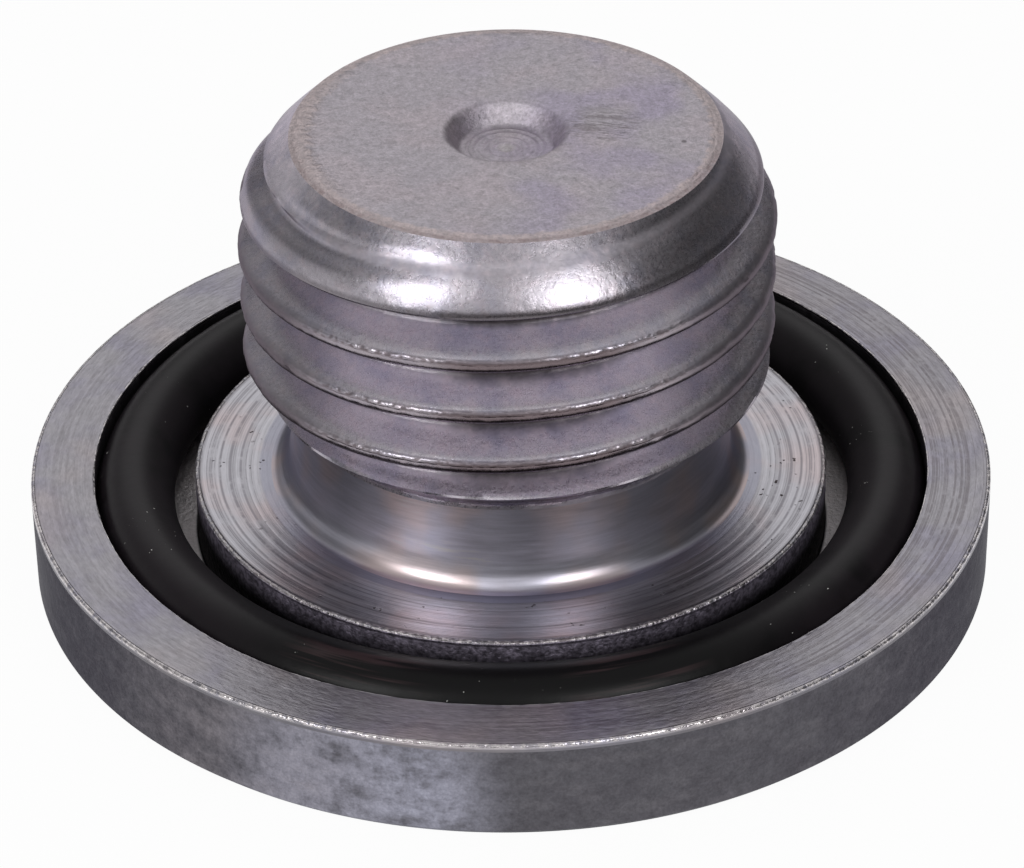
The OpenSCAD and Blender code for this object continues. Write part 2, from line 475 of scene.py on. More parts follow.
def thread_finish(look, size, plan):
    """The rolled thread: satin flanks, dirt and painted shade in the roots and under the crests,
    crests darkened between bright beads, and painted shade on the chamfer, the sides and the top
    ridge.
    """
    f = Finish("thread_steel")
    f.shader.inputs["Specular Tint"].default_value = (0.6, 0.57, 0.62, 1)
    steel = look.thread_steel
    turn = f.maths("ARCTAN2", f.y, f.x) / math.tau
    end = plan.end / MM
    pitch = size.pitch / MM
    start = end - pitch * size.groove_start / math.tau
    phase = (f.height - start) / pitch - turn
    away = f.maths("PINGPONG", phase, 0.5)
    cloud = f.noise(f.place, 0.9, 3, 0.6)
    mottle = f.noise(f.place, 3.2, 3, 0.6, 5)
    grain = f.noise(f.place, 11, 4, 0.7, 2)
    bead = f.noise(f.place, 5.5, 1, 0.5, 9)
    toward = (f.y * -1 - f.x * 0.05) / f.radius
    front = f.step((f.x * 0.1 - f.y) / f.radius, 0.9, 0.985)
    middle = f.step(toward, 0.965, 0.995)
    side = 1 - f.step(toward, 0.6, 0.85)
    colour = f.mix(f.step(cloud, 0.4, 0.7), steel, tinted(steel, 0.82, 0.84, 0.9))
    colour = f.mix(f.step(mottle, 0.45, 0.7) * 0.35, colour, tinted(steel, 1.12, 1.02, 1.0))
    on_thread = f.band(f.height, plan.shoulder / MM + 0.3, end - 0.7, 0.3)
    # The phase counts turns from the groove's start, and the top ridge lies past -1
    first = f.step(phase, -1.05, -0.95)
    full = on_thread * (1 - first)
    # Dirt in the roots, with painted shade that makes them wider and darker at the front
    spread = front * (0.08 - f.step(phase, -1.4, -1.3) * 0.06)
    root = 1 - f.step(away + mottle * 0.08, 0.05, 0.14 + spread)
    colour = f.mix(root * on_thread * (0.2 + front * 0.7), colour, look.grime_and_shade)
    # Painted shade on the crests: the upper side is darkened between bright beads and all across
    # the front middle, breaking up its highlight, and the crest's middle is darkened, most at the
    # front
    part = f.maths("FRACT", phase + 10)
    upper = f.band(part, 0.54, 0.61, 0.02) * full * (1 - side)
    between = f.maths("MAXIMUM", 1 - f.step(bead, 0.38, 0.64), middle)
    colour = f.mix(upper * between * 0.85, colour, tinted(steel, 0.25, 0.22, 0.22))
    crest = f.band(part, 0.43, 0.568, 0.02) * full
    colour = f.mix(crest * (0.5 + front * 0.45), colour, tinted(steel, 0.28, 0.23, 0.22))
    # Painted shade: the crests are darkened at the sides
    side_crest_shade = f.band(part, 0.41, 0.62, 0.05) * side * full
    colour = f.mix(side_crest_shade * 0.8, colour, tinted(steel, 0.3, 0.27, 0.28))
    # Dirt and painted shade under each crest and under the top ridge's knee, darkest at the front
    under = f.band(part, 0.38, 0.465, 0.02) * full
    lip = f.band(part, 0.30, 0.45, 0.04) * on_thread * first
    colour = f.mix((under + lip * 0.85) * (0.6 + front * 0.3), colour, look.grime_and_shade)
    # Painted shade: the chamfer is darker than the flanks, and the sides and the top ridge are
    # darkened too; painted light makes the chamfer lighter at its left, and painted shade darker
    # at its right
    chamfer = f.step(f.height, end - 0.8, end - 0.4)
    painted_shading = (1 - chamfer * (0.42 - mottle * 0.5)) * (1 - side * (1 - chamfer) * 0.25)
    painted_shading = painted_shading * (1 - first * (1 - chamfer) * 0.15)
    painted_shading = painted_shading * (1 + chamfer * ((1 - f.step(f.x, -6, -2.5)) * 0.3 - f.step(f.x, 0, 3) * 0.14))
    colour = f.shade(colour, (0.74 + grain * 0.52) * painted_shading)
    rough = 0.2 + grain * 0.16 + root * 0.15 + (upper * between + side_crest_shade) * 0.2
    relief = grain * 0.005 + mottle * (0.012 - first * 0.007) + cloud * 0.02
    relief = relief + bead * upper * 0.03
    return f.finish(colour, rough, relief)


def neck_finish(look, plan):
    """The neck and its fillet: smooth, bluish, with a few fine rings and warm stains, a painted
    highlight at the front left, and painted shade at the sides, near the boss and at the top.
    """
    f = Finish("neck_steel")
    f.shader.inputs["Specular Tint"].default_value = (0.7, 0.7, 0.8, 1)
    steel = look.neck_steel
    boss = plan.boss / MM
    fine = f.brushed(9, 30, 1)
    broad = f.lines(f.height - f.radius, 2.2, 2, 0.5)
    cloud = f.noise(f.place, 0.5, 2, 0.5, 5)
    grain = f.noise(f.place, 14, 3, 0.6, 1)
    speck = f.step(f.noise(f.place, 9, 1, 0.5, 12), 0.66, 0.72) * f.step(f.x * f.x, 12, 20)
    colour = f.mix(f.step(cloud, 0.45, 0.7) * 0.6, steel, tinted(steel, 1.3, 1.05, 0.85))
    # Painted highlight: a bright smear at the front left
    painted_smear = f.step((f.y * -0.93 - f.x * 0.37) / f.radius, 0.88, 0.99)
    colour = f.shade(colour, (0.6 + fine * 0.5 + broad * 0.15 + grain * 0.08) * (1 + painted_smear * 0.5))
    # Painted shade: darker at the sides, near the boss and towards the top
    beside = 1 - f.step(f.y * -1 / f.radius, 0.65, 0.92)
    low = 1 - f.step(f.height, boss + 0.4, boss + 0.8)
    high = f.step(f.height, boss + 0.7, boss + 1.4)
    colour = f.shade(colour, (1 - beside * (0.2 + low * 0.1)) * (1 - low * 0.22 - high * 0.12))
    stain = 1 - f.step(f.height + cloud * 0.3, boss + 0.25, boss + 0.65)
    pinkish = tinted(look.edge_steel, 0.9, 0.78, 0.75)
    colour = f.mix(stain * f.step(cloud, 0.4, 0.62) * 0.55, colour, pinkish)
    speck = speck * f.step(f.height, boss + 0.5, boss + 1.1)
    colour = f.mix(speck * 0.25, colour, look.edge_steel)
    return f.finish(colour, 0.29 + fine * 0.05, fine * 0.002 + broad * 0.003)


def boss_finish(look, plan):
    """The boss and the ring groove: strong lathe lines, pits, a beaded rim, a rough wall, and
    painted shade at the front and down the wall.
    """
    f = Finish("boss_steel")
    steel = look.boss_steel
    start = plan.fillet_radius / MM
    edge = plan.boss_radius / MM
    boss = plan.boss / MM
    fine = f.brushed(14, 90, 2)
    rings = f.lines(f.radius - f.height, 6, 3, 0.75)
    broad = f.lines(f.radius - f.height, 2.3, 2, 0.5)
    cloud = f.noise(f.place, 0.45, 3, 0.55, 5)
    grain = f.noise(f.place, 12, 3, 0.65, 1)
    bead = f.noise(f.place, 6.5, 2, 0.6, 9)
    colour = f.mix(f.step(cloud, 0.42, 0.66), steel, tinted(steel, 1.08, 0.96, 0.92))
    lines = f.step(rings, 0.34, 0.66)
    # Painted shade darkens the front of the boss, and painted light brightens the rest a little
    front = f.step(f.y * -1 / f.radius, 0.82, 0.97)
    painted_light_level = 1.11 - front * 0.51
    colour = f.shade(colour, (0.66 + lines * 0.22 + fine * 0.32 + grain * 0.06) * painted_light_level)
    circles = f.circles(3.6, 0.1, 3) * f.step(f.radius, start + 0.35, start + 0.55)
    colour = f.mix(circles * (0.6 - front * 0.25), colour, tinted(steel, 0.38, 0.36, 0.38))
    band = 1 - f.step(f.radius, start + 0.27, start + 0.35)
    colour = f.mix(band * 0.5, colour, tinted(steel, 0.62, 0.64, 0.78))
    pits = f.step(f.noise(f.place, 5.5, 1, 0.5, 7), 0.73, 0.77)
    pits = pits * f.band(f.radius, start + 0.05, edge - 0.401, 0.3)
    pits = pits * f.step(f.noise(f.place, 0.6, 1, 0.5, 15), 0.45, 0.6)
    colour = f.mix(pits, colour, look.grime_and_shade)
    rim = f.step(f.radius, edge - 0.141, edge - 0.081)
    rim = rim * f.step(f.height, boss - 0.14, boss - 0.06)
    colour = f.mix(rim * f.step(bead, 0.42, 0.62) * 0.9, colour, look.edge_steel)
    # The groove's wall, speckled grey, with painted shade that fades it to black towards the
    # bottom, and its floor
    inside = 1 - f.step(f.height, boss - 0.065, boss - 0.03)
    wall = inside * (1 - f.step(f.radius, edge + 0.019, edge + 0.099))
    speckle = f.step(grain * 0.5 + bead, 0.5, 1.0)
    worn = f.shade(tinted(steel, 1.05, 0.96, 1.12), speckle * 0.7 + 0.35)
    lit = 0.02 + f.step(f.height, boss - 0.9, boss - 0.1) * 1.08
    colour = f.mix(wall, colour, f.shade(worn, lit))
    ground = inside - wall
    colour = f.mix(ground * 0.8, colour, f.shade(look.edge_steel, 0.6 + grain * 0.9))
    rough = 0.27 + grain * 0.08 + inside * 0.3
    relief = fine * 0.003 + lines * 0.0025 + broad * 0.002 + grain * 0.002 - pits * 0.012
    relief = relief * (1 - inside) + bead * (rim * 0.06 + inside * 0.04) + grain * inside * 0.012
    return f.finish(colour, rough, relief)


def land_finish(look, plan):
    """The sealing land: brushed round the axis, pale stains, sparkling worn edges, and painted
    light at the front.
    """
    f = Finish("land_steel")
    steel = look.land_steel
    land = plan.land / MM
    groove = plan.groove_radius / MM
    head = HEAD_RADIUS / MM
    fine = f.brushed(12, 260, 3)
    streak = f.brushed(4, 60, 4)
    cloud = f.noise(f.place, 0.45, 3, 0.6, 6)
    tone = f.noise(f.place, 0.3, 2, 0.5, 10)
    bead = f.noise(f.place, 5.5, 2, 0.6, 9)
    colour = f.mix(f.step(cloud, 0.4, 0.68) * 0.8, steel, tinted(steel, 0.84, 0.83, 0.95))
    colour = f.mix(f.step(tone, 0.48, 0.7) * 0.7, colour, tinted(steel, 1.2, 1.1, 1.02))
    # Painted light: brighter towards the front
    front = f.step(f.y * -1 / f.radius, 0.93, 0.99)
    colour = f.shade(colour, (0.4 + fine * 0.8 + streak * 0.4) * (1 + front * 0.3))
    right = f.step(f.x, -6, 8)
    circles = f.circles(3.6, 0.06, 5) * (0.2 + right * 0.35)
    colour = f.mix(circles, colour, tinted(steel, 0.42, 0.38, 0.38))
    far_right = f.step(f.x, 3, 9) * f.step(f.y, -2, 6)
    colour = f.mix(far_right * 0.15, colour, tinted(steel, 0.62, 0.58, 0.60))
    inner = 1 - f.step(f.radius, groove + 0.005, groove + 0.065)
    inner = inner * f.step(f.height, land - 0.1, land - 0.05)
    outer = f.step(f.radius, head - 0.115, head - 0.085)
    outer = outer * f.step(f.height, land - 0.1, land - 0.07)
    edge = f.maths("MAXIMUM", inner, outer)
    bright = tinted(look.edge_steel, 1.3, 1.3, 1.3)
    colour = f.mix(edge * f.step(bead, 0.42, 0.56) * 0.9, colour, bright)
    below = 1 - f.step(f.height, land - 0.14, land - 0.08)
    colour = f.mix(below * 0.75, colour, look.rim_steel)
    rough = 0.33 + fine * 0.12 - edge * 0.12
    relief = fine * 0.014 + streak * 0.008 + cloud * 0.01 + bead * edge * 0.04
    return f.finish(colour, rough, relief)


def rim_finish(look):
    """The head's side: dark, mottled and smudged, with a painted pale bluish reflection and a
    fainter pale one at the front left.
    """
    f = Finish("rim_steel")
    f.shader.inputs["Specular Tint"].default_value = (0.4, 0.4, 0.42, 1)
    steel = look.rim_steel
    head = HEAD_RADIUS / MM
    cloud = f.noise(f.vector(f.x, f.y, f.height * 1.3), 0.9, 4, 0.65, 4)
    smudge = f.brushed(1.6, 60, 6, 4)
    mottle = f.noise(f.place, 3.6, 3, 0.6, 8)
    grain = f.noise(f.place, 13, 3, 0.65, 9)
    colour = f.mix(f.step(cloud, 0.32, 0.66), tinted(steel, 0.87, 0.86, 0.88),
                   tinted(steel, 1.0, 1.0, 1.01))
    colour = f.mix(f.step(smudge, 0.48, 0.66) * 0.45, colour, tinted(steel, 1.35, 1.33, 1.32))
    # Painted reflections: a pale bluish patch and a fainter pale one on the side at the front left
    patch = f.near(head, -108, 4.4, 0.8) * f.step(smudge + mottle * 0.3, 0.3, 0.85)
    colour = f.mix(patch * 0.85, colour, tinted(steel, 3.5, 3.65, 4.0))
    pale = f.near(head, -122, 4.8, 1.6) * f.step(smudge + mottle * 0.3, 0.35, 1.0)
    colour = f.mix(pale * 0.7, colour, tinted(steel, 2.1, 2.0, 1.95))
    colour = f.shade(colour, 0.19 + mottle * 0.65 + grain * 0.9)
    relief = mottle * 0.02 + cloud * 0.03 + smudge * 0.01 + grain * 0.004
    return f.finish(colour, 0.3 + grain * 0.16 + mottle * 0.06, relief)


def socket_finish(look, plan):
    """The underside and the hexagon socket: faced, pressed and a little dull."""
    f = Finish("socket_steel")
    steel = look.socket_steel
    facing = f.brushed(9, 120, 7)
    rings = f.lines(f.radius, 5, 3, 0.65)
    cloud = f.noise(f.place, 0.5, 3, 0.55, 2)
    grain = f.noise(f.place, 10, 3, 0.6, 5)
    deep = f.step(f.height, 0.2, plan.pilot / MM)
    colour = f.mix(f.step(cloud, 0.4, 0.7), steel, tinted(steel, 0.85, 0.86, 0.9))
    colour = f.mix(deep * 0.6, colour, look.grime_and_shade)
    colour = f.shade(colour, 0.75 + facing * 0.3 + rings * 0.2)
    outside = 1 - f.step(f.height, 0.05, 0.3)
    relief = (facing * 0.005 + rings * 0.005) * outside + grain * 0.003
    return f.finish(colour, 0.3 + grain * 0.14, relief)


def rubber_finish(look):
    """Black rubber: glossy, with a fine moulded grain, small specks of dust, a painted sheen at
    its sides and painted brown reflections at its front.
    """
    f = Finish("ring_rubber", metallic=0.0)
    f.shader.inputs["Specular IOR Level"].default_value = 0.19
    ring = RING_RADIUS / MM
    outside = ring + 0.667
    grain = f.noise(f.place, 16, 3, 0.6)
    cloud = f.noise(f.place, 0.6, 3, 0.6, 3)
    speck = f.noise(f.place, 8.5, 1, 0.5, 6)
    where = f.step(f.noise(f.place, 0.5, 2, 0.5, 13), 0.52, 0.62)
    streak = f.step(f.brushed(4, 14, 2), 0.5, 0.62)
    # Painted sheen: paler in patches at the left and right
    beside = f.step(f.x * f.x, 20, 70)
    paler = tinted(look.rubber, 4.5, 3.8, 4.0)
    colour = f.mix(beside * f.step(cloud, 0.2, 0.6), look.rubber, paler)
    # Painted reflections: brown streaks at two places on the ring's front
    painted_reflection = f.maths("MAXIMUM", f.near(outside, -73, 2.2), f.near(outside, -112, 2.4))
    colour = f.mix(painted_reflection * streak * 0.8, colour, tinted(look.rubber, 15, 10, 9))
    bound = 0.86 - look.dust_cover * 0.3
    dusty = f.step(speck, bound, bound + 0.02) * where
    colour = f.mix(dusty, colour, look.dust)
    inner = 1 - f.step(f.radius, ring - 0.633, ring - 0.033)
    rough = 0.26 + cloud * 0.12 + grain * 0.06 + dusty * 0.4 + inner * 0.35
    return f.finish(colour, rough, grain * 0.0016 + cloud * 0.02 + dusty * 0.01)


# Outlines


def corner(radius, height, rounding=0.0, wear=0.0):
    """A corner of the turned outline, in metres, with its rounding and its wear."""
    return Vector((radius, height)), rounding, wear


def soften(corners, steps=4):
    """Turns corners into ring stations (radius, height, wear vector) with rounded bends."""
    stations = []
    last = len(corners) - 1
    for index, (point, rounding, wear) in enumerate(corners):
        if not rounding or index in (0, last):
            stations.append((point, Vector((0, 0))))
            continue
        enter = point + (corners[index - 1][0] - point).normalized() * rounding
        leave = point + (corners[index + 1][0] - point).normalized() * rounding
        inward = ((enter + leave) / 2 - point).normalized()
        for number in range(steps + 1):
            t = number / steps
            place = enter * (1 - t) ** 2 + point * (2 * t * (1 - t)) + leave * t ** 2
            stations.append((place, inward * wear * math.sin(math.pi * t)))
    return stations


def bite(angle, radius, salt):
    """How deep an edge is nicked at an angle, from 0 to 1."""
    place = Vector((math.cos(angle), math.sin(angle), salt)) * (radius / MM)
    coarse = noise.noise(place * 0.9)
    fine = noise.noise(place * 3.1)
    return min(1.0, max(0.0, 0.25 + coarse * 0.5 + fine * 0.9))


def turned(stations, salt):
    """Ring rules, angle to (radius, height), from softened stations."""
    def rule(place, wear):
        def at(angle):
            depth = bite(angle, place.x, salt) if wear.length else 0
            return place.x + wear.x * depth, place.y + wear.y * depth
        return at
    return [rule(place, wear) for place, wear in stations]


def skin(bm, rules, material, pole_first=None, pole_last=None):
    """Skins rings of COLUMNS vertices, closed at a pole where one is given."""
    angles = [math.tau * column / COLUMNS for column in range(COLUMNS)]
    rings = []
    for rule in rules:
        ring = []
        for angle in angles:
            radius, height = rule(angle)
            ring.append(bm.verts.new((radius * math.cos(angle), radius * math.sin(angle), height)))
        rings.append(ring)
    for upper, lower in zip(rings, rings[1:]):
        for column in range(COLUMNS):
            after = (column + 1) % COLUMNS
            face = bm.faces.new((upper[column], lower[column], lower[after], upper[after]))
            face.material_index = material
    for pole, ring in ((pole_first, rings[0]), (pole_last, rings[-1])):
        if pole is None:
            continue
        tip = bm.verts.new((0, 0, pole))
        for column in range(COLUMNS):
            face = bm.faces.new((tip, ring[column], ring[(column + 1) % COLUMNS]))
            face.material_index = material


# The threaded shank


SHANK_NUMBERS = (
    "Pitch", "Crest Radius", "Root Radius", "Root Flat", "Flank Reach", "Flank Bulge",
    "End Radius", "End Height", "Top Height", "Chamfer Rise", "Taper Height", "Taper Rise",
    "Neck Radius", "Shoulder Height", "Shoulder Rise", "Foot Height", "Start Height",
    "Knee Rounding", "Crest Rounding", "Root Rounding", "Furrow Depth", "Furrow Width",
    "Furrow Drop", "Furrow Lean", "Weak Groove", "Wear", "Seed",
)


def new_tree(name, numbers, counts):
    """A geometry node tree with named inputs for numbers, counts and a material: its Graph
    and a dict of input wires."""
    tree = bpy.data.node_groups.new(name, "GeometryNodeTree")
    tree.interface.new_socket("Geometry", in_out="OUTPUT", socket_type="NodeSocketGeometry")
    kinds = dict.fromkeys(numbers, "NodeSocketFloat")
    kinds.update(dict.fromkeys(counts, "NodeSocketInt"))
    kinds["Material"] = "NodeSocketMaterial"
    for label, kind in kinds.items():
        tree.interface.new_socket(label, in_out="INPUT", socket_type=kind)
    graph = Graph(tree)
    group = graph.node("NodeGroupInput")
    return graph, {label: group.sibling(label) for label in kinds}


def close_tree(graph, geometry, material):
    """Ends a tree in Realize Instances and Set Material."""
    real = graph.node("GeometryNodeRealizeInstances", None, {"Geometry": geometry})
    dressed = graph.node("GeometryNodeSetMaterial", None, {"Geometry": real, "Material": material})
    last = graph.tree.nodes.new("NodeGroupOutput")
    graph.feed(last.inputs["Geometry"], dressed)


def grown(name, graph, values):
    """Runs a tree with its inputs set by identifier, and returns a plain mesh."""
    obj = bpy.data.objects.new(name, bpy.data.meshes.new(name))
    bpy.context.scene.collection.objects.link(obj)
    modifier = obj.modifiers.new("nodes", "NODES")
    modifier.node_group = graph.tree
    for item in graph.tree.interface.items_tree:
        if item.in_out == "INPUT" and item.name in values:
            modifier[item.identifier] = values[item.name]
    depsgraph = bpy.context.evaluated_depsgraph_get()
    mesh = bpy.data.meshes.new_from_object(obj.evaluated_get(depsgraph), depsgraph=depsgraph)
    obj.modifiers.remove(modifier)
    bpy.data.objects.remove(obj)
    return mesh


def shank_tree():
    """A ribbon that winds with the thread: its rows follow the helix, so that crests and
    roots are clean edges, and its ends are cut level at the chamfer's rim and the neck."""
    g, size = new_tree("threaded_shank", SHANK_NUMBERS, ("Columns", "Rows Per Pitch"))
    pitch = size["Pitch"]
    columns = size["Columns"]
    per_pitch = size["Rows Per Pitch"]
    turns = (size["Start Height"] - size["Foot Height"]) / pitch + 1
    rows = g.maths("CEIL", turns * per_pitch)
    grid = g.node("GeometryNodeMeshGrid", None, {
        "Size X": columns, "Size Y": rows, "Vertices X": columns + 1, "Vertices Y": rows + 1})
    place = g.node("GeometryNodeInputPosition")
    parts = g.node("ShaderNodeSeparateXYZ", None, {0: place})
    along = parts.sibling("Y")
    column = g.maths("ROUND", parts + columns / 2)
    row = g.maths("ROUND", along + rows / 2)
    turn = column / columns
    phase = row / per_pitch
    angle = turn * math.tau
    free = size["Start Height"] + pitch * (turn - phase)
    height = g.maths("MINIMUM", g.maths("MAXIMUM", free, size["Foot Height"]), size["Top Height"])

    # The metric groove, with a rounded root and flanks that bulge towards the crest
    away = pitch * g.maths("PINGPONG", phase, 0.5)
    climb = (away - size["Root Flat"] / 2) / size["Flank Reach"]
    bulge = g.maths("MAXIMUM", 1 - climb, 0.0) ** size["Flank Bulge"]
    beyond = g.maths("MAXIMUM", climb - 1, 0.0)
    flank = (1 - bulge + beyond) * (size["Crest Radius"] - size["Root Radius"])
    groove = size["Root Radius"] + g.maths("SMOOTH_MAX", flank, 0.0, size["Root Rounding"])
    # The groove is shallower next to the end face
    end = size["End Height"]
    faded = g.step(height, end - 1.05 * MM, end - 0.55 * MM)
    groove = groove + faded * size["Weak Groove"]
    # The turned blank: end chamfer, taper, full thread and run-out shoulder
    chamfer = size["End Radius"] + (end - height) * size["Chamfer Rise"]
    taper = size["Crest Radius"] - (height - size["Taper Height"]) * size["Taper Rise"]
    run_out = (height - size["Shoulder Height"]) * size["Shoulder Rise"]
    rounding = size["Crest Rounding"]
    shoulder = size["Neck Radius"] + g.maths("SMOOTH_MAX", run_out, 0.0, rounding * 0.3)
    blank = g.maths("SMOOTH_MIN", chamfer, taper, size["Knee Rounding"])
    blank = g.maths("SMOOTH_MIN", blank, shoulder, rounding)
    blank = g.maths("SMOOTH_MIN", blank, size["Crest Radius"], rounding)
    # The furrow that the first, weak groove leaves on the chamfer, in two stretches
    drop = size["Furrow Drop"] + (turn - 0.5) * size["Furrow Lean"]
    off_line = g.maths("ABSOLUTE", pitch * (phase - 2) - drop)
    stretch = g.band(turn, 0.56, 0.70, 0.03) + g.band(turn, 0.83, 0.955, 0.03) * 0.35
    furrow = (1 - g.step(off_line, 0.0, size["Furrow Width"])) * stretch
    blank = blank - furrow * size["Furrow Depth"]
    radius = g.maths("SMOOTH_MIN", blank, groove, rounding)

    # Nicks and swells in the crests, calmer on the top ridge and gone at both ends
    cosine = g.maths("COSINE", angle)
    sine = g.maths("SINE", angle)
    spot = g.vector(cosine * radius, sine * radius, height)
    coarse = g.noise(spot, 1.3 / MM, 2, 0.5, size["Seed"])
    fine = g.noise(spot, 4.2 / MM, 2, 0.6, size["Seed"])
    swell = g.noise(spot, 0.7 / MM, 1, 0.5, size["Seed"])
    on_crest = g.step(away, 0.56 * MM, 0.68 * MM)
    foot = size["Foot Height"]
    top = size["Top Height"]
    level = g.step(height, foot, foot + 0.3 * MM)
    level = level * (1 - g.step(height, top - 0.35 * MM, top))
    nick = g.step(coarse * 0.5 + fine * 0.6, 0.5, 0.74) + (fine - 0.5) * 0.5
    calm = g.step(height, end - 1.8 * MM, end - 1.4 * MM)
    nick = nick * on_crest * (1 - calm * 0.6)
    worn = radius - (nick + (swell - 0.4) * 0.7) * size["Wear"] * level
    final = g.vector(cosine * worn, sine * worn, height)

    shaped = g.node("GeometryNodeSetPosition", None, {"Geometry": grid, "Position": final})
    welded = g.node("GeometryNodeMergeByDistance", None, {"Geometry": shaped, "Distance": WELD})
    close_tree(g, welded, size["Material"])
    return g


# The pieces


def shank_values(size, plan, look, material):
    """What the shank's tree is fed, worked out from the plug's sizes."""
    return {
        "Pitch": size.pitch,
        "Crest Radius": size.thread_radius + 0.03 * MM,
        "Root Radius": plan.root_radius - 0.04 * MM,
        "Root Flat": size.pitch * ROOT_FLAT,
        "Flank Reach": (size.thread_radius - plan.root_radius) * math.tan(size.flank),
        "Flank Bulge": 1.12,
        "End Radius": plan.end_radius,
        "End Height": plan.end,
        "Top Height": plan.end - END_SEAM,
        "Chamfer Rise": math.tan(size.lead_slope),
        "Taper Height": plan.end - size.taper_length + 0.3 * MM,
        "Taper Rise": math.tan(size.taper_slope),
        "Neck Radius": plan.neck_radius,
        "Shoulder Height": plan.shoulder,
        "Shoulder Rise": math.tan(size.shoulder),
        "Foot Height": plan.shoulder - 0.16 * MM,
        "Start Height": plan.end + size.pitch * (1 - size.groove_start / math.tau),
        "Knee Rounding": 0.8 * MM,
        "Crest Rounding": 0.2 * MM,
        "Root Rounding": 0.3 * MM,
        "Furrow Depth": 0.08 * MM,
        "Furrow Width": 0.27 * MM,
        "Furrow Drop": -0.14 * MM,
        "Furrow Lean": 0.55 * MM,
        "Weak Groove": 0.25 * MM,
        "Wear": look.wear,
        "Columns": COLUMNS,
        "Rows Per Pitch": ROWS_PER_PITCH,
        "Seed": 4.0,
        "Material": material,
    }


def end_rules(size, plan, look, shank):
    """Rings of the end face, from the floor of the centre mark out to the chamfer."""
    end = plan.end
    floor = end - size.mark_depth
    rings = []
    # Ripples on the mark's floor, up to the last two steps before its wall
    ripple = 0.26 * MM
    steps = 20
    for number in range(1, steps - 1):
        radius = (size.mark_floor + 0.1 * MM) * number / steps
        wave = 0.02 * MM * math.cos(math.tau * radius / ripple)
        rings.append((Vector((radius, floor + wave + 0.01 * MM)), Vector((0, 0))))
    lip = size.mark_radius
    rim = plan.end_radius - 0.14 * MM
    corners = [
        corner(size.mark_floor + 0.06 * MM, floor),
        corner(size.mark_floor + 0.2 * MM, floor, 0.12 * MM),
        corner(lip - 0.04 * MM, end, 0.14 * MM, 0.015 * MM),
        corner(lip + 0.4 * MM, end),
        corner(rim - 0.3 * MM, end),
        corner(rim, end, 0.06 * MM, look.wear),
        corner(rim + 0.1 * MM, shank["Top Height"] + 0.01 * MM),
        corner(plan.end_radius + END_SEAM * shank["Chamfer Rise"], shank["Top Height"]),
    ]
    rings += soften(corners, steps=5)
    return turned(rings, salt=2.0), floor + 0.03 * MM


def neck_rules(size, plan, shank):
    """Rings from the thread's foot down the flared neck and its fillet to the boss."""
    boss = plan.boss
    neck = plan.neck_radius
    flare = 0.12 * MM
    first = math.radians(16)
    reach = size.neck_fillet - flare
    bend = boss + size.neck_fillet * 1.1
    top = shank["Foot Height"]
    rings = []
    neck_steps = 8
    fillet_steps = 10
    # The flare opens like a parabola, and the fillet goes on from its slope as an ellipse
    for number in range(neck_steps + 1):
        t = number / neck_steps
        rings.append((Vector((neck + flare * t * t, top + (bend - top) * t)), Vector((0, 0))))
    for number in range(1, fillet_steps + 1):
        a = first + (math.pi / 2 - first) * number / fillet_steps
        outward = (1 - math.cos(a) / math.cos(first)) * reach
        rise = (bend - boss) * (1 - math.sin(a)) / (1 - math.sin(first))
        rings.append((Vector((neck + flare + outward, boss + rise)), Vector((0, 0))))
    return turned(rings, salt=3.0)


def boss_rules(plan, look):
    """Rings from the fillet over the boss and down into the ring groove."""
    boss = plan.boss
    rim = plan.boss_radius
    start = plan.fillet_radius
    corners = [corner(start, boss)]
    for inset, width, depth in BOSS_SCORES:
        corners += scored(boss, start + inset * MM, width * MM, depth * MM)
    corners += [
        corner(rim - 0.2 * MM, boss),
        corner(rim, boss, 0.06 * MM, look.wear * 0.6),
        corner(rim, plan.groove_floor, 0.08 * MM),
        corner(plan.groove_radius - GROOVE_SEAM, plan.groove_floor),
    ]
    return turned(soften(corners), salt=5.0)


def land_rules(size, plan, look):
    """Rings from the groove's floor up its outer wall and over the land to the rim."""
    land = plan.land
    groove = plan.groove_radius
    bevel = size.upper_bevel
    return turned(soften([
        corner(groove - GROOVE_SEAM, plan.groove_floor),
        corner(groove, plan.groove_floor, 0.08 * MM),
        corner(groove, land, 0.045 * MM, look.wear * 0.8),
        corner(groove + 0.15 * MM, land),
        corner(HEAD_RADIUS - bevel - 0.1 * MM, land),
        corner(HEAD_RADIUS - bevel * 0.4, land, 0.04 * MM, look.wear * 0.3),
        corner(HEAD_RADIUS, land - bevel * 0.4, 0.04 * MM),
        corner(HEAD_RADIUS, land - bevel - SIDE_SEAM),
    ]), salt=5.0)


def rim_rules(size):
    """Rings down the head's side to its underside."""
    return turned(soften([
        corner(HEAD_RADIUS, size.head_height - size.upper_bevel - SIDE_SEAM),
        corner(HEAD_RADIUS, size.lower_bevel + 0.08 * MM),
        corner(HEAD_RADIUS, size.lower_bevel),
        corner(HEAD_RADIUS - size.lower_bevel, 0),
    ]), salt=8.0)


def scored(height, radius, width, depth):
    """Three corners of a fine groove scored into a level face."""
    return (corner(radius, height), corner(radius + width / 2, height - depth),
            corner(radius + width, height))


